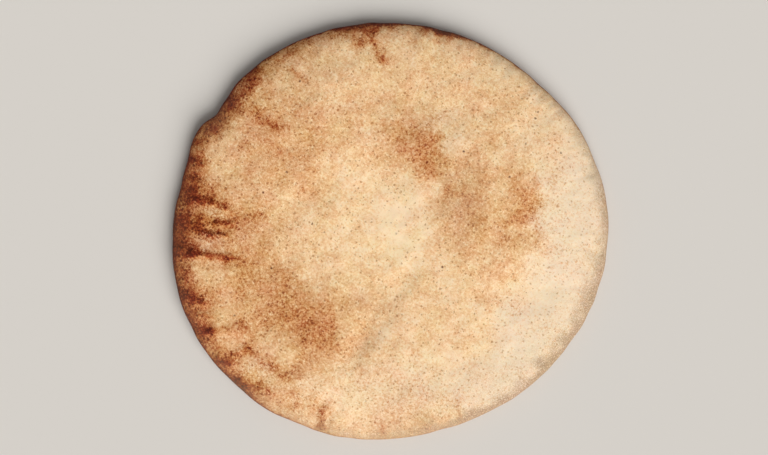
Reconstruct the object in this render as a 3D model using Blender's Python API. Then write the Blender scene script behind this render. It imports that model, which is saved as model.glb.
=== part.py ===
"""A whole, uncut pocket pita of wholemeal dough, lying on its flat baked side.

The bread is one closed body. Its top skin and its bottom skin meet in a seam that runs round the rim.
The top is a low crown with broad blisters, a shallow hollow, and folds that run in from the rim.
The underside is flat where it lay on the hearth and curls up to the seam near the rim.

Units are metres, +Z is up, and the origin is on the flat foot, under the middle of the bread's box.
Angles are in degrees, anticlockwise from +X as seen from above.
"""

import math

import bmesh
import bpy

# Driving dimensions
MEAN_DIAMETER = 0.165  # a large pita, 6 1/2 inches across
CROWN_HEIGHT = 0.0118  # top skin above the table, between the blisters
SEAM_HEIGHT = 0.0040  # mean height of the seam above the table
SEAM_WAVE = 0.0005  # how far the seam rises and dips round the rim
FOOT_SHARE = 0.86  # the part of each radius that lies flat on the table

MEAN_RADIUS = MEAN_DIAMETER / 2

# The outline's radius is the mean radius times 1 plus these waves:
# (waves in a turn, share, direction of a crest)
OUTLINE_WAVES = ((1, 0.010, 200), (2, 0.024, 12), (3, 0.012, -5.5))
# Local features of the outline: (direction, share, half width in degrees)
OUTLINE_BUMPS = (
    (45, -0.010, 9),
    (141, -0.014, 4.5),
    (146.3, -0.022, 2.8),  # the nick where the rim folded in
    (153.5, 0.011, 4.5),  # the shoulder beside it
    (167, -0.009, 6),
    (198, 0.006, 9),
    (225, -0.007, 8),
    (245, -0.008, 7),
    (308, 0.007, 9),
)

# The crown falls to the seam as (1 - u ** CROWN_POWER) ** CROWN_ROUND,
# where u is 0 in the middle and 1 at the seam
CROWN_POWER = 7
CROWN_ROUND = 0.42

# Broad blisters and hollows of the top: (x, y, half length, half width, direction of its length, height)
BLISTERS = (
    (0.014, 0.031, 0.019, 0.014, 150, 0.0013),
    (0.034, 0.006, 0.028, 0.024, 100, 0.0015),
    (-0.031, -0.039, 0.025, 0.017, 125, 0.0012),
    (-0.034, 0.036, 0.030, 0.018, 40, 0.0006),
    (-0.005, -0.034, 0.020, 0.005, 55, -0.0009),
    (0.004, 0.004, 0.030, 0.010, 130, -0.0005),
)

# Folds run in from the rim:
# (direction at the rim end, turn along its length, where it starts, where it ends, height, half width).
# Starts and ends are distances in from the outline.
FOLDS = (
    (160.3, 0, 0.000, 0.012, 0.0006, 0.0012),
    (171.0, 0, 0.004, 0.021, 0.0008, 0.0012),
    (176.6, 0, 0.010, 0.025, 0.0006, 0.0010),
    (178.5, 3.5, 0.006, 0.022, 0.0007, 0.0011),
    (184.0, 5, 0.000, 0.024, 0.0009, 0.0013),
    (197.2, 0, 0.003, 0.018, 0.0005, 0.0013),
    (200.0, 1.5, 0.001, 0.013, 0.0007, 0.0012),
    (208.6, 1, 0.002, 0.017, 0.0006, 0.0013),
    (217.3, 1.5, 0.001, 0.016, 0.0007, 0.0013),
    (225.6, 0, 0.000, 0.007, 0.0006, 0.0014),
)

# Columns of faces run round the rim, closely where the folds are and widely elsewhere
FOLDED_SECTOR = (152, 232)
COLUMNS_IN_SECTOR = 104
COLUMNS_OUTSIDE = 56

# Rings, as shares of the outline's radius. Each group has half as many columns as the group before it.
TOP_RINGS = (
    (0.992, 0.975, 0.952, 0.925, 0.893, 0.857, 0.817, 0.773, 0.725, 0.67),
    (0.60, 0.53, 0.45, 0.37),
    (0.29, 0.21),
    (0.12,),
)
CURL_RINGS = (0.992, 0.970, 0.935, 0.90, FOOT_SHARE)
FOOT_RINGS = ((), (0.68,), (0.45,), (0.2,))

CRUST_COLOUR = (0.78, 0.52, 0.28, 1)


def turn_between(a, b):
    """The angle from b to a in degrees, from -180 to 180."""
    return (a - b + 180) % 360 - 180


def bell(x):
    return math.exp(-x * x)


def outline_radius(angle):
    share = 1
    for waves, size, crest in OUTLINE_WAVES:
        share += size * math.cos(math.radians(waves * (angle - crest)))
    for direction, size, half_width in OUTLINE_BUMPS:
        share += size * bell(turn_between(angle, direction) / half_width)
    return MEAN_RADIUS * share


def seam_height(angle):
    slow = math.sin(math.radians(2 * angle + 40))
    quick = math.sin(math.radians(5 * angle + 110))
    return SEAM_HEIGHT + SEAM_WAVE * (slow + 0.5 * quick)


def blister_height(x, y):
    total = 0
    for centre_x, centre_y, half_length, half_width, direction, height in BLISTERS:
        c, s = math.cos(math.radians(direction)), math.sin(math.radians(direction))
        along = (x - centre_x) * c + (y - centre_y) * s
        across = (y - centre_y) * c - (x - centre_x) * s
        total += height * bell(math.hypot(along / half_length, across / half_width) ** 1.5)
    return total


def fold_height(angle, radius, inset):
    total = 0
    for direction, turn, start, end, height, half_width in FOLDS:
        t = (inset - start) / (end - start)
        if -0.25 < t < 1.25:
            sideways = math.radians(turn_between(angle, direction + turn * t)) * radius
            total += height * bell(sideways / half_width) * bell((t - 0.45) / 0.42)
    return total


def top_point(angle, u):
    edge = outline_radius(angle)
    radius = edge * u
    x, y = radius * math.cos(math.radians(angle)), radius * math.sin(math.radians(angle))
    crown = max(0, 1 - u**CROWN_POWER) ** CROWN_ROUND
    relief = blister_height(x, y) + fold_height(angle, radius, edge - radius)
    seam = seam_height(angle)
    return x, y, seam + (CROWN_HEIGHT - seam) * crown + relief * min(1, 3 * crown)


def bottom_point(angle, u):
    """A point of the underside: flat to the foot's edge, then up a quarter of an ellipse to the seam."""
    radius = outline_radius(angle) * u
    rise = max(0, u - FOOT_SHARE) / (1 - FOOT_SHARE)
    z = seam_height(angle) * (1 - math.sqrt(1 - rise * rise))
    return radius * math.cos(math.radians(angle)), radius * math.sin(math.radians(angle)), z


def column_angles():
    first, last = FOLDED_SECTOR
    inside = (last - first) / COLUMNS_IN_SECTOR
    outside = (360 - (last - first)) / COLUMNS_OUTSIDE
    angles = [first + inside * i for i in range(COLUMNS_IN_SECTOR)]
    return angles + [last + outside * i for i in range(COLUMNS_OUTSIDE)]


def bridge(mesh, outer, inner):
    """Faces between two rings, where the inner ring has as many points as the outer one or half as many."""
    step = len(outer) // len(inner)
    for i in range(len(inner)):
        j = (i + 1) % len(inner)
        a, b = outer[i * step], outer[(i + 1) * step % len(outer)]
        if step == 1:
            mesh.faces.new((a, b, inner[j], inner[i]))
        else:
            middle = outer[i * step + 1]
            mesh.faces.new((a, middle, inner[i]))
            mesh.faces.new((middle, inner[j], inner[i]))
            mesh.faces.new((middle, b, inner[j]))


def close_skin(mesh, seam, groups, point, angles):
    """Rings from the seam inwards, thinning by half from group to group, and a fan over the middle."""
    ring = seam
    for thinning, shares in enumerate(groups):
        kept = angles[:: 2**thinning]
        for u in shares:
            inner = [mesh.verts.new(point(angle, u)) for angle in kept]
            bridge(mesh, ring, inner)
            ring = inner
    middle = mesh.verts.new(point(0, 0))
    for i, vertex in enumerate(ring):
        mesh.faces.new((vertex, ring[(i + 1) % len(ring)], middle))


def middle_of_box(mesh):
    xs = [v.co.x for v in mesh.verts]
    ys = [v.co.y for v in mesh.verts]
    return (min(xs) + max(xs)) / 2, (min(ys) + max(ys)) / 2


def make_pita():
    mesh = bmesh.new()
    angles = column_angles()
    seam = [mesh.verts.new(top_point(angle, 1)) for angle in angles]
    close_skin(mesh, seam, TOP_RINGS, top_point, angles)
    underside = (CURL_RINGS + FOOT_RINGS[0],) + FOOT_RINGS[1:]
    close_skin(mesh, seam, underside, bottom_point, angles)
    bmesh.ops.recalc_face_normals(mesh, faces=mesh.faces)
    x, y = middle_of_box(mesh)
    bmesh.ops.translate(mesh, verts=mesh.verts, vec=(-x, -y, 0))
    data = bpy.data.meshes.new("pita")
    mesh.to_mesh(data)
    mesh.free()
    data.shade_smooth()
    pita = bpy.data.objects.new("pita", data)
    bpy.context.scene.collection.objects.link(pita)
    return pita


def make_crust():
    crust = bpy.data.materials.new("baked_crust")
    crust.use_nodes = True
    shader = crust.node_tree.nodes["Principled BSDF"]
    shader.inputs["Base Color"].default_value = CRUST_COLOUR
    shader.inputs["Roughness"].default_value = 0.8
    shader.inputs["Metallic"].default_value = 0
    return crust


for old in list(bpy.data.objects):
    bpy.data.objects.remove(old)
make_pita().data.materials.append(make_crust())
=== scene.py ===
import math

import bpy
import numpy as np
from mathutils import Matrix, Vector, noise


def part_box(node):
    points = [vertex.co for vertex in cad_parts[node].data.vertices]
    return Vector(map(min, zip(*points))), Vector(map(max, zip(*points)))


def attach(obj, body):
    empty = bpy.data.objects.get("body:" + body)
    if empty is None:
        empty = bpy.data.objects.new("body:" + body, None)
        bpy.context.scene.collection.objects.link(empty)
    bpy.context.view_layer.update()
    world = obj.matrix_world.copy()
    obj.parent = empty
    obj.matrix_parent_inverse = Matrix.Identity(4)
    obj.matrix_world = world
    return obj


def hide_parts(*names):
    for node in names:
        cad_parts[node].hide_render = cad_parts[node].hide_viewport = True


# A whole pita of wholemeal dough that has settled after baking, on a pale studio floor, seen from straight
# above. In the dictionaries places and lengths are millimetres, with places taken from the middle of the
# bread. Directions are degrees anticlockwise from +X, and an inset is a distance in from the rim.

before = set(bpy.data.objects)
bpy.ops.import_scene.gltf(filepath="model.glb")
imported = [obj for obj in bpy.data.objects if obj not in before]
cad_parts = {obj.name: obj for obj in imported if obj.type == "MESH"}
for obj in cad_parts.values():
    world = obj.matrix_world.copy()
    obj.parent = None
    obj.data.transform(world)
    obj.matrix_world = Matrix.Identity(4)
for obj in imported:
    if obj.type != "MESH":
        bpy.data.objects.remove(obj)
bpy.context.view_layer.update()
low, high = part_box("pita")
middle = (low + high) / 2
boxLength, boxWidth, boxHeight = (high - low) * 1000
print("frame loaded, the pita in mm is", round(boxLength, 1), round(boxWidth, 1), round(boxHeight, 1))


def linear(hexColour):
    channels = [int(hexColour[i:i + 2], 16) / 255 for i in (1, 3, 5)]
    return [c / 12.92 if c <= 0.04045 else ((c + 0.055) / 1.055) ** 2.4 for c in channels] + [1]


def addNode(tree, kind, links=None, **settings):
    node = tree.nodes.new("ShaderNode" + kind)
    for name, value in settings.items():
        setattr(node, name, value)
    for socket, source in (links or {}).items():
        if isinstance(source, bpy.types.NodeSocket):
            tree.links.new(source, node.inputs[socket])
        else:
            node.inputs[socket].default_value = source
    return node


def newMaterial(name):
    material = bpy.data.materials.new(name)
    material.use_nodes = True
    return material, material.node_tree, material.node_tree.nodes["Principled BSDF"]


pitaBread = {
    # the outline's radius is 1 plus these waves: (waves in a turn, share, direction of a crest)
    "outlineWaves": ((1, 0.010, 200), (2, 0.024, 12), (3, 0.012, -5.5)),
    # and these local features: (direction, share, half width)
    "outlineBumps": (
        (45, -0.010, 9),
        (141, -0.014, 4.5),
        (146.3, -0.022, 2.8),  # the nick where the rim folded in
        (153.5, 0.011, 4.5),  # the shoulder beside it
        (167, -0.009, 6),
        (198, 0.006, 9),
        (225, -0.007, 8),
        (245, -0.008, 7),
        (308, 0.007, 9),
    ),
    "crownShare": 0.861,  # height of the crown as a share of the whole height
    "seamShare": 0.292,  # height of the seam where the top and bottom crusts meet
    "seamWave": 0.5,
    "crownPower": 7,
    "crownRound": 0.42,
    "footShare": 0.86,  # the part of each radius that lies flat
    "columns": 768,  # faces round the rim
    "topStep": 0.74,  # distance between rings of faces
    "bottomStep": 1.15,
    "fewestColumns": 24,
    "ripple": (7, 0.35),  # the outline's small unevenness: (size of its lumps, amount)
    "relief": ((24, 0.50), (9.5, 0.36), (4.2, 0.16), (1.9, 0.09)),  # lumps of the top: (size, height)
    "wrinkles": (2.6, 0.30, 4, 5),  # in from the rim: (spacing, height, inset of the middle, half width)
    "hollows": ((26, 0.90), (7, 0.35)),  # where the underside clears the hearth: (size, height)
    # marks are looked up a little way off from where they are, for ragged edges: (size of the lumps, amount)
    "farBend": ((15, 4), (6, 4), (2.4, 2)),
    "nearBend": ((4, 1.4), (1.7, 0.8)),
    "ridgeBend": ((5, 1.2),),

    # broad blisters and hollows: (x, y, half length, half width, direction, height)
    "blisters": (
        (14, 31, 19, 14, 150, 1.3),
        (34, 6, 28, 24, 100, 1.5),
        (-31, -39, 25, 17, 125, 1.2),
        (-34, 36, 30, 18, 40, 0.6),
        (-5, -34, 20, 5, 55, -0.9),
        (4, 4, 30, 10, 130, -0.5),
    ),

    # folds run in from the rim and brown first: (x, y, to x, y, half width, browning, height)
    "folds": (
        (-79, 29, -74.5, 27, 1.0, 0.46, 0.38),
        (-74.5, 27, -69.5, 25, 1.0, 0.24, 0.22),
        (-75.2, 12.2, -68.2, 11, 1.2, 0.44, 0.52),
        (-68.5, 10.8, -63, 8.8, 1.0, 0.42, 0.45),
        (-63.5, 9, -60, 7.2, 1.0, 0.25, 0.22),
        (-71, 2.8, -66.6, 3.8, 0.6, 0.20, 0.15),
        (-66.6, 3.3, -60.6, 2.3, 1.0, 0.50, 0.45),
        (-60.6, 3.4, -52, 5.6, 1.8, 0.18, 0.08),
        (-73, 5, -73, 0.5, 1.7, 0.40, 0.22),
        (-81, 2, -74, 1.2, 1.0, 0.22, 0.15),
        (-71, -0.4, -63, -2, 1.1, 0.56, 0.6),
        (-86, -6.6, -76.5, -8.0, 1.9, 0.56, 0.6),
        (-76, -8.8, -61.2, -10.1, 1.2, 0.50, 0.6),
        (-61.2, -10.1, -57.3, -11.6, 1.4, 0.22, 0.15),
        (-78, -25.8, -71.3, -27.5, 1.5, 0.38, 0.45),
        (-76.5, -31.2, -68.5, -32.8, 1.0, 0.20, 0.3),
        (-73.5, -38.3, -70.5, -38.8, 1.1, 0.42, 0.45),
        (-70.5, -38.6, -57, -37.2, 1.9, 0.30, 0.3),
        (-66, -49.3, -62, -50.6, 1.4, 0.60, 0.52),
        (-60.2, -47.4, -55, -44.6, 1.3, 0.42, 0.3),
        (-54, -46.5, -41.5, -55.8, 1.8, 0.34, 0.15),
        (-59, -57.5, -56, -59.8, 1.7, 0.56, 0.38),
        (-50, -59.5, -45, -62.5, 2.0, 0.34, 0.22),
        (-38, -62, -36, -66.5, 1.8, 0.26, 0.22),
        (-26.5, -68.4, -26, -76.5, 1.4, 0.38, 0.38),
        (-2.7, -75, -2, -78, 1.3, 0.16, 0.22),
        (14.3, -74.5, 14.3, -77.5, 1.4, 0.16, 0.22),
        (21, -72, 21, -76, 1.4, 0.16, 0.22),
        (26.3, -64.7, 26.8, -72, 0.7, 0.28, 0.22),
        (-12, 79.5, -7.5, 74.5, 1.9, 0.30, 0.2),
        (-7.2, 74.5, -2.7, 65.6, 1.3, 0.36, 0.3),
        (-62.3, 51.5, -60.8, 47.5, 0.6, 0.36, -0.4),  # creases at the nick
        (-69.5, 41, -65.5, 35.6, 0.9, 0.26, -0.3),
    ),

    "plainBrowning": 0.13,  # of crust with no mark on it
    # toasted places: (x, y, half length, half width, direction, amount)
    "toasted": (
        (8, 32, 13, 12, 130, 0.20),  # the left lobe of the kidney
        (18, 28.5, 9, 7, 150, 0.16),
        (15, 38, 6, 4, 20, 0.08),
        (22, 37.5, 9, 4, -31, -0.07),  # its pale upper edge
        (28, 20.5, 9, 9, 0, 0.10),  # its back
        (28, 7, 14, 8, 80, 0.12),
        (25, 12.4, 3.5, 3, 90, 0.10),
        (30.6, -3, 6, 4.5, 0, 0.04),
        (38, 6.5, 20, 17, 90, 0.10),
        (51, 14, 17, 4.5, 103, 0.15),  # the arc at its right
        (50.5, 8, 6, 3.5, 110, 0.09),
        (48.5, 3.5, 3, 2.5, 0, 0.08),
        (55.5, 3, 6, 2.2, 95, 0.10),
        (51, -7.5, 6, 4.5, 0, 0.12),
        (38.3, -16.3, 4, 3, 20, 0.07),
        (45, -29.8, 4.5, 3.5, 0, 0.10),
        (-31, -35, 16, 12, 130, 0.22),
        (-27, -35, 20, 15, 130, 0.06),  # the lower left
        (-49, -27, 14, 11, 100, 0.16),
        (-31, -42, 8, 6, 10, 0.06),
        (-36, -52, 5.5, 4.5, -50, 0.22),
        (-52, -10, 6, 6, 0, 0.08),
        (-55, -2, 24, 14, 90, 0.06),
        (-72, 16, 6.5, 4, -20, 0.26),  # rusty places between the folds
        (-75.5, 2.5, 5, 4, 0, 0.20),
        (-72, -25.5, 8, 4.5, -10, 0.20),
        (-60, -22, 9, 3, 10, 0.12),
        (-56.5, 57, 10, 4.5, 48, 0.30),  # the upper left
        (-57, 49.5, 5, 4, 0, 0.20),
        (-48.4, 44.2, 6, 4, -40, 0.22),
        (-46, 41.5, 3, 2, -30, 0.14),
        (-41, 39.5, 5.5, 2.2, -22, 0.12),
        (-36.4, 58, 3, 2, -30, 0.20),
        (-36.8, 67.8, 5, 3, 30, 0.18),
        (-67, 44.5, 8, 5, 60, 0.30),
        (-73, 37, 3, 3, 60, 0.24),
        (-57.7, 31, 4, 3, 0, 0.10),
        (-14, 78, 14, 5.5, 5, 0.26),
        (-8.5, 77.5, 6, 4, 0, 0.22),  # the top
        (-3, 79, 7, 4, -10, 0.34),
        (9.7, 77.5, 4, 2.5, 0, 0.16),
        (-45, 14, 42, 34, 70, 0.10),  # the left is browner all over
        (-52, 30, 30, 20, 60, 0.05),
        (0, 50, 42, 22, 0, 0.05),
        (-5, -66, 34, 14, 0, 0.08),
        (-7.5, -31, 10, 5, 65, 0.06),
        (-12, 4, 31, 19, 20, -0.10),  # and the middle paler
    ),

    # bands along the rim: (middle direction, half width in degrees, width, amount)
    # the left band is browning of the left rim and partly painted shade where the rim falls away from the
    # light
    "leftBrowningAndShade": (186, 36, 7.5, 0.52),
    "upperLeftBand": (122, 26, 7, 0.20),
    "seamLineAndShade": (0.5, 0.12),  # a thin brown line where the skins meet, all the way round, partly browning and partly painted shade on the steep edge: (width, amount)
    # scorched places along the rim; the dark sliver at the top and the thin lines at the very edge, darkest
    # on the upper left, are partly painted shade
    "scorchedAndRimShade": (
        (75, 5.5, 2.7, 1.5),
        (90, 18, 0.6, 0.55),
        (58, 12, 0.6, 0.35),
        (118, 36, 0.7, 0.6),
        (190, 42, 1.2, 0.24),
        (222, 24, 0.7, 0.40),
        (229, 8, 3.5, 0.24),
        (38, 24, 0.6, 0.35),
        (270, 40, 0.6, 0.14),
        (326, 30, 0.6, 0.12),
        (0, 22, 0.6, 0.18),
    ),

    # painted shade along the rim where it falls away from the light: strongest on the lower right shoulder,
    # with bands on the left, the right, the lower right and the lower rim: (middle direction, half width in
    # degrees, width, amount)
    "paintedRimShade": (-30, 80, 4, 0.92),
    "paintedShadeBands": ((185, 35, 6, 0.15), (-30, 80, 18, 0.12), (-52, 34, 16, 0.26), (250, 32, 5, 0.30)),

    # browning past the first number levels off over the second, so that the darkest places keep some grain
    "levelling": (0.7, 0.32),

    # painted shade: greyer crust in the hollow down the lower middle, in the hollow of the kidney and beside
    # it, in the dent at the upper left, and one greyer spot on the lower left: (x, y, half length, half
    # width, direction, amount)
    "paintedShade": (
        (-7.5, -31, 10, 5, 65, 0.18),
        (-9, -46, 10, 3.5, 80, 0.16),
        (27, 13, 14, 9, 80, 0.24),
        (7, 14, 7, 6, 0, 0.12),
        (-66, 45, 8, 5, 50, 0.18),
        (-35, -52, 5, 4, 0, 0.20),
    ),

    # flour along the right rim: (direction, half width in degrees, fade in degrees, reach, fade)
    "flourSide": (-14, 62, 40, 32, 16),
    # and other places with more of it, one of them on the lower right slope partly a painted highlight: (x,
    # y, half length, half width, direction, amount)
    "flouryAndHighlight": (
        (5, -62, 42, 14, 0, 0.55),
        (32, -60, 12, 9, 0, 0.35),
        # partly a painted highlight, where the slope faces the light
        (50, -46, 10, 7, 30, 0.45),
        (-50, -54, 5, 4, 0, 0.35),
        (-68, 7, 7, 2, -8, 0.35),
        (-68, -4.5, 9, 2.2, -8, 0.30),
        (22, 38, 8, 4, -31, 0.35),
    ),

    # black flecks of bran, large enough to pick out: (x, y)
    "blackFlecks": (
        (-39.5, 22.5), (28.2, 30.4), (-48.6, 14.7), (-59.7, -32.5), (45.7, 20.6), (56.9, 45.7),
        (20.1, -13.9), (-45.4, -14.3), (55.8, 43.2), (65.7, 30), (-34.6, 57.4),
    ),

    # colours by how far the crust has browned, from 0 to 1, which also colour the painted shade along the
    # rim
    "browning": (
        (0.00, "#F8DCB4"), (0.12, "#F1CB9B"), (0.24, "#E4B585"), (0.36, "#D7A06B"), (0.48, "#C68652"),
        (0.60, "#B26A37"), (0.74, "#984620"), (0.87, "#7C2D0F"), (1.00, "#561A07"),
    ),
    "flourAndHighlight": "#F2DCBD",
    # the grey-brown that the painted shade mixes in
    "paintedShadeColour": "#A3866A",
    "stipple": "#966B40",
    "blackBran": "#541F08",
    # sizes of the patterns
    "grain": 0.46,
    "crumb": 0.96,
    "dots": 1.35,
    "clouds": 3.6,
    "tint": 9,
    "branSpacing": 4.6,
    "lean": (37, 24, 41),  # the patterns are turned, so that none lines up with the flat of the bread
    "contrast": (0.62, 1.6),  # of the crumbs, on pale crust and on toasted crust
    "dotReach": 0.50,  # of the fullest dots, as a share of their spacing
    "dotStrength": 0.75,
    "branStrength": 0.7,
    "roughness": (0.66, 0.84),
    "grainHeight": 0.14,
    # the two round places that its skins take up in the square that they are baked in: (x, y, radius)
    "topPlace": (0.364, 0.636, 0.358),
    "bottomPlace": (0.782, 0.218, 0.212),
}


def turnBetween(a, b):
    return (a - b + 180) % 360 - 180


def bell(x):
    return np.exp(-x * x)


def smoothStep(x):
    x = np.clip(x, 0, 1)
    return x * x * (3 - 2 * x)


# smooth noise from about -0.5 to 0.5, whose lumps are this size across: each seed gives other lumps
def lumps(x, y, size, seed):
    return np.array([noise.noise(point) for point in zip(x / size, y / size, np.full(x.shape, seed + 0.5))])


def patch(x, y, mark):  # 1 in the middle of an oval mark, falling off to 0 round it
    centreX, centreY, halfLength, halfWidth, direction = mark[:5]
    c, s = math.cos(math.radians(direction)), math.sin(math.radians(direction))
    along = (x - centreX) * c + (y - centreY) * s
    across = (y - centreY) * c - (x - centreX) * s
    return bell(np.hypot(along / halfLength, across / halfWidth) ** 1.5)


def patches(x, y, marks):
    return sum(mark[5] * patch(x, y, mark) for mark in marks)


def bend(x, y, waves, seed):
    bentX = x + sum(amount * lumps(x, y, size, seed + i) for i, (size, amount) in enumerate(waves))
    seed += len(waves)
    bentY = y + sum(amount * lumps(x, y, size, seed + i) for i, (size, amount) in enumerate(waves))
    return bentX, bentY


def bendFar(x, y):
    return bend(x, y, pitaBread["farBend"], 41)


def rimBand(angle, inset, band):
    direction, halfWidth, width, amount = band
    return amount * bell(turnBetween(angle, direction) / halfWidth) * bell(inset / width)


def unitOutline(angle):
    share = np.ones_like(angle)
    for waves, size, crest in pitaBread["outlineWaves"]:
        share += size * np.cos(np.radians(waves * (angle - crest)))
    for direction, size, halfWidth in pitaBread["outlineBumps"]:
        share += size * bell(turnBetween(angle, direction) / halfWidth)
    return share


turn = np.arange(3600) / 10
unitX = unitOutline(turn) * np.cos(np.radians(turn))
unitY = unitOutline(turn) * np.sin(np.radians(turn))
meanRadius = boxLength / (unitX.max() - unitX.min())
outlineMiddle = meanRadius * np.array([unitX.max() + unitX.min(), unitY.max() + unitY.min()]) / 2
crownHeight = boxHeight * pitaBread["crownShare"]
seamHeight = boxHeight * pitaBread["seamShare"]


def outline(angle):
    size, amount = pitaBread["ripple"]
    ripple = lumps(np.cos(np.radians(angle)) * meanRadius, np.sin(np.radians(angle)) * meanRadius, size, 3)
    return meanRadius * unitOutline(angle) + amount * ripple


def seam(angle):
    slow = np.sin(np.radians(2 * angle + 40))
    quick = np.sin(np.radians(5 * angle + 110))
    return seamHeight + pitaBread["seamWave"] * (slow + 0.5 * quick)


def crown(u):
    return np.maximum(0, 1 - u ** pitaBread["crownPower"]) ** pitaBread["crownRound"]


def curl(u):
    rise = np.clip((u - pitaBread["footShare"]) / (1 - pitaBread["footShare"]), 0, 1)
    return 1 - np.sqrt(1 - rise * rise)


def foldMarks(x, y):  # height and browning of the folds at these points
    broken = np.clip(0.85 + 0.9 * lumps(x, y, 2.6, 65), 0.4, 1.2)
    height = np.zeros_like(x)
    brown = np.zeros_like(x)
    for startX, startY, endX, endY, halfWidth, browning, ridge in pitaBread["folds"]:
        runX, runY = endX - startX, endY - startY
        t = np.clip(((x - startX) * runX + (y - startY) * runY) / (runX ** 2 + runY ** 2), 0, 1)
        gap = np.hypot(x - startX - t * runX, y - startY - t * runY) / halfWidth
        core, halo = bell(gap), bell(gap / 3)
        height += ridge * (core - 0.25 * halo)
        brown += browning * (0.70 * core * broken + 0.26 * halo)
    return height, brown


def topSkin(angle, u):
    edge = outline(angle)
    radius = edge * u
    x, y = radius * np.cos(np.radians(angle)), radius * np.sin(np.radians(angle))
    inset = edge - radius
    relief = patches(x, y, pitaBread["blisters"])
    relief += foldMarks(*bend(x, y, pitaBread["ridgeBend"], 11))[0]
    for seed, (size, height) in enumerate(pitaBread["relief"], 21):
        relief += height * lumps(x, y, size, seed)
    spacing, height, place, halfWidth = pitaBread["wrinkles"]
    wrinkle = lumps(np.radians(angle) * meanRadius, inset / 5, spacing, 25)  # five times as long as wide
    relief += height * wrinkle * bell((inset - place) / halfWidth)
    z = seam(angle) + (crownHeight - seam(angle)) * crown(u) + relief * np.minimum(1, 3 * crown(u))
    return x, y, z, inset


def bottomSkin(angle, u):
    radius = outline(angle) * u
    x, y = radius * np.cos(np.radians(angle)), radius * np.sin(np.radians(angle))
    hollow = 0
    for seed, (size, height) in enumerate(pitaBread["hollows"], 31):
        hollow = hollow + height * np.maximum(0, lumps(x, y, size, seed))
    z = seam(angle) * curl(u) + hollow * smoothStep((1 - u) / 0.06)
    return x, y, z


# shares of the radius that lie evenly along a skin, with how far each lies from the middle along it
def spacedShares(profile, step):
    u = np.linspace(1, 0, 8001)
    along = np.concatenate([[0], np.cumsum(np.hypot(np.diff(u) * meanRadius, np.diff(profile(u))))])
    places = np.linspace(0, along[-1], round(along[-1] / step) + 1)
    return np.interp(places, along, u), 1 - places / along[-1]


def layRings(shares, reaches, fullShare, first):
    # rings from just inside the seam to the middle, with half as many points each time the radius halves
    rings, angle, u, reach = [], [], [], []
    for share, far in zip(shares[1:-1], reaches[1:-1]):
        halvings = max(0, math.floor(math.log2(fullShare / share)))
        count = max(pitaBread["columns"] >> halvings, pitaBread["fewestColumns"])
        rings.append(list(range(first, first + count)))
        first += count
        angle.append(np.arange(count) * 360 / count)
        u.append(np.full(count, share))
        reach.append(np.full(count, far))
    rings.append([first])
    return rings, *(np.concatenate(parts + [[0]]) for parts in (angle, u, reach))


def bridgeRings(rings):
    faces = []
    for outer, inner in zip(rings[:-2], rings[1:-1]):
        count, step = len(inner), len(outer) // len(inner)
        for i in range(count):
            j = (i + 1) % count
            a, b = outer[i * step], outer[(i + 1) * step % len(outer)]
            if step == 1:
                faces.append((a, b, inner[j], inner[i]))
            else:
                between = outer[i * step + 1]
                faces += [(a, between, inner[i]), (between, inner[j], inner[i]), (between, b, inner[j])]
    last, centre = rings[-2], rings[-1][0]
    return faces + [(last[i], last[(i + 1) % len(last)], centre) for i in range(len(last))]


# browning of the top, with some painted shade along the rim
def topBrowningAndRimShade(angle, x, y, inset):
    browningAndRimShade = pitaBread["plainBrowning"] + 0.05 * lumps(x, y, 20, 51) + 0.08 * lumps(x, y, 8, 52)
    browningAndRimShade += patches(*bendFar(x, y), pitaBread["toasted"])
    browningAndRimShade += foldMarks(*bend(x, y, pitaBread["nearBend"], 61))[1]
    # browning along the left rim, partly painted shade
    direction, halfWidth, width, amount = pitaBread["leftBrowningAndShade"]
    band = bell(turnBetween(angle, direction) / halfWidth) * (1 + 0.6 * lumps(x, y, 6, 73))
    browningAndRimShade += amount * band * bell((inset / width) ** 2)  # with a firmer inner edge than the other bands
    browningAndRimShade += rimBand(angle, inset, pitaBread["upperLeftBand"])
    ragged = 1 + 0.8 * lumps(x, y, 3, 71)
    # the thin line where the skins meet, partly painted shade on the steep edge
    width, amount = pitaBread["seamLineAndShade"]
    browningAndRimShade += amount * bell(inset / (width * ragged))
    # scorched places, partly painted shade at the very edge
    browningAndRimShade += sum(rimBand(angle, inset / ragged, band) for band in pitaBread["scorchedAndRimShade"])
    start, span = pitaBread["levelling"]
    levelled = start + span * (1 - np.exp((start - browningAndRimShade) / span))
    return np.where(browningAndRimShade < start, browningAndRimShade, levelled)


# flour on the top, with a painted highlight on the lower right slope
def topFlourAndHighlight(angle, x, y, inset):
    direction, halfWidth, turnFade, reach, fade = pitaBread["flourSide"]
    turned = np.abs(turnBetween(angle, direction))
    side = smoothStep((halfWidth - turned + 16 * lumps(x, y, 14, 81)) / turnFade)
    dusting = side * smoothStep((reach - inset + 14 * lumps(x, y, 11, 82)) / fade)
    return dusting + patches(*bendFar(x, y), pitaBread["flouryAndHighlight"])


# painted shade on the top, along the rim and in the hollows
def topPaintedShade(angle, x, y, inset):
    ragged = 1 + 0.9 * lumps(x, y, 5, 83)
    paintedShade = rimBand(angle, inset / ragged, pitaBread["paintedRimShade"])
    paintedShade += sum(rimBand(angle, inset, band) for band in pitaBread["paintedShadeBands"])
    shoulder = 0.90 + 0.10 * smoothStep(inset / 2)  # the painted shade is a little weaker at the very edge than on the shoulder
    return patches(*bendFar(x, y), pitaBread["paintedShade"]) + shoulder * paintedShade


def bottomBrowning(x, y, u):
    spots = smoothStep((lumps(x, y, 9, 91) + 0.5 * lumps(x, y, 4, 92) - 0.08) / 0.3)
    broad = 0.5 + lumps(x, y, 30, 93)
    return 0.16 + (0.14 * broad + 0.34 * spots * broad) * smoothStep((1 - u) / 0.14)


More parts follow.
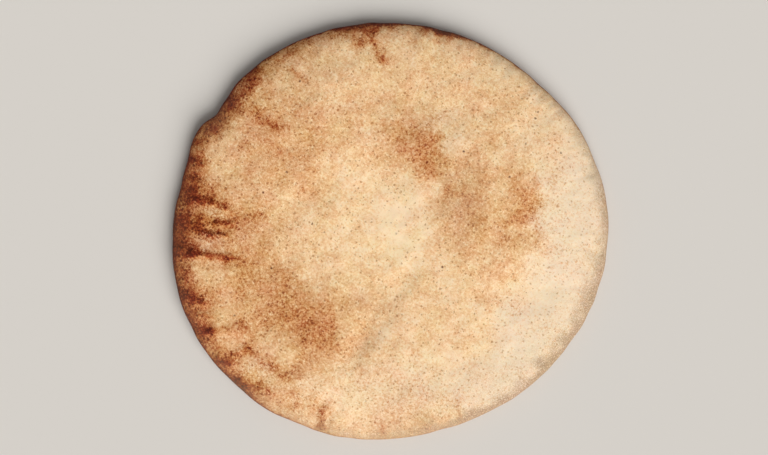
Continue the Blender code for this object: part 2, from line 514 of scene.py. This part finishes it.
def carryUnder(topValues, lowValues, lowAngle, lowU):  # the finish of the rim runs on under the curl
    columns = pitaBread["columns"]
    seamAngle = np.arange(columns + 1) * 360 / columns
    rim = np.interp(lowAngle, seamAngle, np.append(topValues[:columns], topValues[0]))
    share = 0.85 * smoothStep((lowU - pitaBread["footShare"]) / (1 - pitaBread["footShare"]))
    return np.concatenate([topValues, lowValues + share * (rim - lowValues)])


def placeOn(place, angle, reach):  # where points fall when a skin is laid out flat in its round place
    x, y, radius = place
    edge = outline(angle)
    far = radius * reach * edge / edge.max()
    return np.stack([x + far * np.cos(np.radians(angle)), y + far * np.sin(np.radians(angle))], axis=1)


def bakeCrust():
    rise = crownHeight - seamHeight
    topShares, topFar = spacedShares(lambda u: seamHeight + rise * crown(u), pitaBread["topStep"])
    lowShares, lowFar = spacedShares(lambda u: seamHeight * curl(u), pitaBread["bottomStep"])
    columns = pitaBread["columns"]
    seamRing = list(range(columns))
    topRings, topAngle, topU, topReach = layRings(topShares, topFar, 1, columns)
    # the underside first halves its points in the middle of the curl
    firstLow = columns + len(topAngle)
    lowRings, lowAngle, lowU, lowReach = layRings(lowShares, lowFar, 1 + pitaBread["footShare"], firstLow)
    seamAngle = np.arange(columns) * 360 / columns
    angle = np.concatenate([seamAngle, topAngle])
    u = np.concatenate([np.ones(columns), topU])
    x, y, z, inset = topSkin(angle, u)
    lowX, lowY, lowZ = bottomSkin(lowAngle, lowU)
    print("crust shaped")

    browningAndRimShade = carryUnder(topBrowningAndRimShade(angle, x, y, inset), bottomBrowning(lowX, lowY, lowU), lowAngle, lowU)
    lowFlour = 0.35 + 0.4 * lumps(lowX, lowY, 12, 94)
    flourAndHighlight = carryUnder(topFlourAndHighlight(angle, x, y, inset), lowFlour, lowAngle, lowU)
    paintedShade = carryUnder(topPaintedShade(angle, x, y, inset), np.zeros_like(lowX), lowAngle, lowU)
    fleckGap = np.min([np.hypot(x - fx, y - fy) for fx, fy in pitaBread["blackFlecks"]], axis=0)
    fleckGap = np.concatenate([fleckGap, np.full_like(lowX, 9)])
    print("crust browned")

    topFaces = bridgeRings([seamRing] + topRings)
    lowFaces = [face[::-1] for face in bridgeRings([seamRing] + lowRings)]
    skins = ((x, lowX), (y, lowY), (z, lowZ))
    points = np.stack([np.concatenate(skin) for skin in skins], axis=1)
    points[:, :2] -= outlineMiddle
    points = points / 1000 + np.array([middle.x, middle.y, low.z])
    mesh = bpy.data.meshes.new("pitaCrust")
    mesh.from_pydata(points.tolist(), [], topFaces + lowFaces)
    mesh.shade_smooth()
    for name, values in (("browningAndRimShade", browningAndRimShade), ("flourAndHighlight", flourAndHighlight), ("paintedShade", paintedShade), ("fleckGap", fleckGap)):
        mesh.attributes.new(name, "FLOAT", "POINT").data.foreach_set("value", values.astype(np.float32))

    topUv = placeOn(pitaBread["topPlace"], angle, np.concatenate([np.ones(columns), topReach]))
    lowUv = placeOn(pitaBread["bottomPlace"], np.concatenate([seamAngle, lowAngle]),
                    np.concatenate([np.ones(columns), lowReach]))
    topCorners = np.concatenate(topFaces)
    lowCorners = np.concatenate(lowFaces)
    lowCorners = np.where(lowCorners < columns, lowCorners, lowCorners - len(topAngle))
    corners = np.concatenate([topUv[topCorners], lowUv[lowCorners]])
    mesh.uv_layers.new(name="OFBake").data.foreach_set("uv", corners.ravel().astype(np.float32))
    return mesh


crust = bakeCrust()
pita = bpy.data.objects.new("pitaCrust", crust)
bpy.context.scene.collection.objects.link(pita)
print("crust has", sum(len(face.vertices) - 2 for face in crust.polygons), "triangles")


def perMetre(size):  # scale of a pattern whose features are that many millimetres apart
    return 1000 / size


def bakedWholemealCrust():
    # dry wholemeal crust, baked on a hearth: matt, finely curdled, browner on everything that stands up
    material, tree, shader = newMaterial("bakedWholemealCrust")
    place = addNode(tree, "TexCoord").outputs["Object"]
    lean = [math.radians(angle) for angle in pitaBread["lean"]]
    place = addNode(tree, "Mapping", {"Vector": place, "Rotation": lean}).outputs[0]
    browningAndRimShade, flourAndHighlight, paintedShade, fleckGap = (
        addNode(tree, "Attribute", attribute_name=name).outputs["Fac"]
        for name in ("browningAndRimShade", "flourAndHighlight", "paintedShade", "fleckGap"))
    grain, crumb, clouds, tint = (
        addNode(tree, "TexNoise", {
            "Vector": place,
            "Scale": perMetre(pitaBread[name]),
            "Detail": detail,
            "Roughness": 0.55,
        }).outputs["Fac"]
        for name, detail in (("grain", 1), ("crumb", 2), ("clouds", 3), ("tint", 3)))

    # the ground: fine crumbs over broader clouds, with more contrast where the crust is toasted
    curd = addNode(tree, "Mix", {0: 0.40, 2: crumb, 3: grain}, data_type="FLOAT").outputs[0]
    curd = addNode(tree, "Math", {0: curd, 1: 0.5}, operation="SUBTRACT").outputs[0]
    pale, toasted = pitaBread["contrast"]
    contrast = addNode(tree, "MapRange", {"Value": browningAndRimShade, 1: 0.0, 2: 0.5, 3: pale, 4: toasted}).outputs[0]
    ground = addNode(tree, "Math", {0: curd, 1: contrast, 2: browningAndRimShade}, operation="MULTIPLY_ADD").outputs[0]
    drift = addNode(tree, "MapRange", {"Value": clouds, 1: 0.25, 2: 0.75, 3: -0.10, 4: 0.10}).outputs[0]
    ground = addNode(tree, "Math", {0: ground, 1: drift}, operation="ADD").outputs[0]
    deeper = addNode(tree, "Math", {0: browningAndRimShade, 1: 0.3, 2: 0.16}, operation="MULTIPLY_ADD").outputs[0]
    deeper = addNode(tree, "Math", {0: ground, 1: deeper}, operation="ADD").outputs[0]
    colours = []
    for degree in (ground, deeper):
        ramp = addNode(tree, "ValToRGB", {"Fac": degree})
        elements = ramp.color_ramp.elements
        for i, (position, colour) in enumerate(pitaBread["browning"]):
            element = elements[i] if i < 2 else elements.new(position)
            element.position = position
            element.color = linear(colour)
        colours.append(ramp.outputs[0])

    # flour lies on it in drifts, broken by the crumbs; one drift on the lower right slope is partly a
    # painted highlight
    dustingAndHighlight = addNode(tree, "Math", {0: ground, 1: -1.2, 2: 0.92}, operation="MULTIPLY_ADD").outputs[0]
    dustingAndHighlight = addNode(tree, "Math", {0: curd, 1: -2.6, 2: dustingAndHighlight},
                     operation="MULTIPLY_ADD", use_clamp=True).outputs[0]
    dustingAndHighlight = addNode(tree, "Math", {0: dustingAndHighlight, 1: flourAndHighlight}, operation="MULTIPLY", use_clamp=True).outputs[0]
    colour = addNode(tree, "Mix", {0: dustingAndHighlight, 6: colours[0], 7: linear(pitaBread["flourAndHighlight"])},
                     data_type="RGBA").outputs[2]

    # the stipple: browner dots, sparse on the pale crust and crowded where it is toasted
    cells = addNode(tree, "TexVoronoi", {"Vector": place, "Scale": perMetre(pitaBread["dots"])})
    chance = addNode(tree, "SeparateColor", {"Color": cells.outputs["Color"]})
    crowding = addNode(tree, "Math", {0: browningAndRimShade, 1: 0.7, 2: chance.outputs[0]},
                       operation="MULTIPLY_ADD").outputs[0]
    reach = addNode(tree, "MapRange", {
        "Value": crowding, 1: 0.15, 2: 1.3, 3: 0.0, 4: pitaBread["dotReach"]}).outputs[0]
    ragged = addNode(tree, "MapRange", {"Value": grain, 1: 0.3, 2: 0.7, 3: -0.12, 4: 0.12}).outputs[0]
    reach = addNode(tree, "Math", {0: reach, 1: ragged}, operation="ADD").outputs[0]
    distance = cells.outputs["Distance"]
    inside = addNode(tree, "Math", {0: reach, 1: distance}, operation="SUBTRACT").outputs[0]
    dots = addNode(tree, "MapRange", {
        "Value": inside, 1: 0.0, 2: 0.15, 3: 0.0, 4: pitaBread["dotStrength"]}).outputs[0]
    bare = addNode(tree, "MapRange", {"Value": dustingAndHighlight, 1: 0.0, 2: 1.0, 3: 1.0, 4: 0.55}).outputs[0]
    dots = addNode(tree, "Math", {0: dots, 1: bare}, operation="MULTIPLY").outputs[0]
    redder = addNode(tree, "MapRange", {"Value": browningAndRimShade, 1: 0.1, 2: 0.5, 3: 0.35, 4: 1.0}).outputs[0]
    dotColour = addNode(tree, "Mix", {0: redder, 6: linear(pitaBread["stipple"]), 7: colours[1]},
                        data_type="RGBA").outputs[2]
    colour = addNode(tree, "Mix", {0: dots, 6: colour, 7: dotColour}, data_type="RGBA").outputs[2]

    # painted shade: the crust turns greyer along the rim where it falls away from the light and in the
    # hollows, broken up by the grain
    paintedShadeAmount = addNode(tree, "Math", {0: grain, 1: 2.0, 2: -0.15},
                       operation="MULTIPLY_ADD", use_clamp=True).outputs[0]
    paintedShadeAmount = addNode(tree, "Math", {0: paintedShadeAmount, 1: paintedShade}, operation="MULTIPLY", use_clamp=True).outputs[0]
    colour = addNode(tree, "Mix", {0: paintedShadeAmount, 6: colour, 7: linear(pitaBread["paintedShadeColour"])},
                     data_type="RGBA").outputs[2]

    # bran: a fleck in some of the cells, each of its own size and strength
    bran = addNode(tree, "TexVoronoi", {"Vector": place, "Scale": perMetre(pitaBread["branSpacing"])})
    cell = addNode(tree, "SeparateColor", {"Color": bran.outputs["Color"]})
    edge = addNode(tree, "MapRange", {"Value": cell.outputs[0], 1: 0.3, 2: 1.0, 3: 0.0, 4: 0.12}).outputs[0]
    ragged = addNode(tree, "MapRange", {"Value": grain, 1: 0.3, 2: 0.7, 3: -0.04, 4: 0.04}).outputs[0]
    edge = addNode(tree, "Math", {0: edge, 1: ragged}, operation="ADD").outputs[0]
    inside = addNode(tree, "Math", {0: edge, 1: bran.outputs["Distance"]}, operation="SUBTRACT").outputs[0]
    inside = addNode(tree, "MapRange", {
        "Value": inside, 1: 0.0, 2: 0.06, 3: 0.0, 4: pitaBread["branStrength"]}).outputs[0]
    fleck = addNode(tree, "Math", {0: inside, 1: cell.outputs[1]}, operation="MULTIPLY").outputs[0]
    black = addNode(tree, "MapRange", {"Value": fleckGap, 1: 0.65, 2: 0.3, 3: 0.0, 4: 0.9}).outputs[0]
    fleck = addNode(tree, "Math", {0: fleck, 1: black}, operation="MAXIMUM").outputs[0]
    colour = addNode(tree, "Mix", {0: fleck, 6: colour, 7: linear(pitaBread["blackBran"])},
                     data_type="RGBA").outputs[2]

    # here a little rosier, there a little more like straw
    hue = addNode(tree, "MapRange", {"Value": tint, 1: 0.3, 2: 0.7, 3: 0.494, 4: 0.506}).outputs[0]
    colour = addNode(tree, "HueSaturation", {"Hue": hue, "Color": colour}).outputs[0]
    tree.links.new(colour, shader.inputs["Base Color"])

    smooth, rough = pitaBread["roughness"]
    shine = addNode(tree, "MapRange", {"Value": clouds, 1: 0.3, 2: 0.7, 3: smooth, 4: rough}).outputs[0]
    tree.links.new(shine, shader.inputs["Roughness"])
    grainHeight = pitaBread["grainHeight"] / 1000
    bump = addNode(tree, "Bump", {"Height": curd, "Strength": 0.6, "Distance": grainHeight})
    tree.links.new(bump.outputs[0], shader.inputs["Normal"])
    shader.inputs["IOR"].default_value = 1.45
    shader.inputs["Specular IOR Level"].default_value = 0.15
    shader.inputs["Subsurface Weight"].default_value = 0.1
    shader.inputs["Subsurface Radius"].default_value = (1.0, 0.55, 0.3)
    shader.inputs["Subsurface Scale"].default_value = 0.002
    return material


crust.materials.append(bakedWholemealCrust())
print("crust finished")


studio = {
    "lens": 85,  # hung straight above the bread
    "sensor": 36,
    "breadShare": 0.5665,  # the bread's length as a share of the picture's width
    "shiftRight": 0.0082,  # how far the bread lies right of the picture's middle, in picture widths
    "shiftDown": 0.0046,
    "floor": "#D5D0C9",  # matt warm grey paper
    "floorSize": 6,  # metres
    "floorGap": 0.0001,  # metres from the floor up to the flat of the bread
    # softboxes: (name, direction that it stands in, degrees above the floor, degrees across, share).
    # The shares and the fill add up to 1 on a level surface, so that colours show as written.
    "softboxes": (("keySoftbox", -60, 42, 50, 0.66), ("highSoftbox", -57, 64, 60, 0.16)),
    "fillShare": 0.18,
}


def hangCamera():
    pictureWidth = boxLength / 1000 / studio["breadShare"]
    camera = bpy.data.cameras.new("copyStand")
    camera.lens = studio["lens"]
    camera.sensor_width = studio["sensor"]
    stand = bpy.data.objects.new("copyStand", camera)
    stand.location = (
        middle.x - studio["shiftRight"] * pictureWidth,
        middle.y + studio["shiftDown"] * pictureWidth,
        low.z + seamHeight / 1000 + pictureWidth * studio["lens"] / studio["sensor"],
    )
    bpy.context.scene.collection.objects.link(stand)
    bpy.context.scene.camera = stand


def hangLights():
    for name, direction, height, across, share in studio["softboxes"]:
        height = math.radians(height)
        box = bpy.data.lights.new(name, "SUN")
        box.energy = math.pi * share / math.sin(height)
        box.angle = math.radians(across)
        lamp = bpy.data.objects.new(name, box)
        lamp.rotation_euler = (0, math.pi / 2 - height, math.radians(direction))
        bpy.context.scene.collection.objects.link(lamp)

    world = bpy.data.worlds.new("studioAir")
    bpy.context.scene.world = world
    world.use_nodes = True
    tree = world.node_tree
    tree.nodes.clear()
    rays = addNode(tree, "LightPath")
    fill = addNode(tree, "Background", {"Color": (1, 1, 1, 1), "Strength": studio["fillShare"]})
    seen = addNode(tree, "Background", {"Color": linear(studio["floor"]), "Strength": 1})
    isCamera = rays.outputs["Is Camera Ray"]
    either = addNode(tree, "MixShader", {0: isCamera, 1: fill.outputs[0], 2: seen.outputs[0]})
    addNode(tree, "OutputWorld", {"Surface": either.outputs[0]})


def layFloor():
    half = studio["floorSize"] / 2
    mesh = bpy.data.meshes.new("paperFloor")
    corners = [(-half, -half, 0), (half, -half, 0), (half, half, 0), (-half, half, 0)]
    mesh.from_pydata(corners, [], [(0, 1, 2, 3)])
    floor = bpy.data.objects.new("paperFloor", mesh)
    floor.location.z = low.z - studio["floorGap"]
    bpy.context.scene.collection.objects.link(floor)
    paper, tree, shader = newMaterial("mattPaper")
    shader.inputs["Base Color"].default_value = linear(studio["floor"])
    shader.inputs["Roughness"].default_value = 1
    shader.inputs["Specular IOR Level"].default_value = 0
    mesh.materials.append(paper)


bpy.context.scene.view_settings.view_transform = "Standard"
hangCamera()
hangLights()
layFloor()
print("studio ready")

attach(pita, "root")
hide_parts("pita")
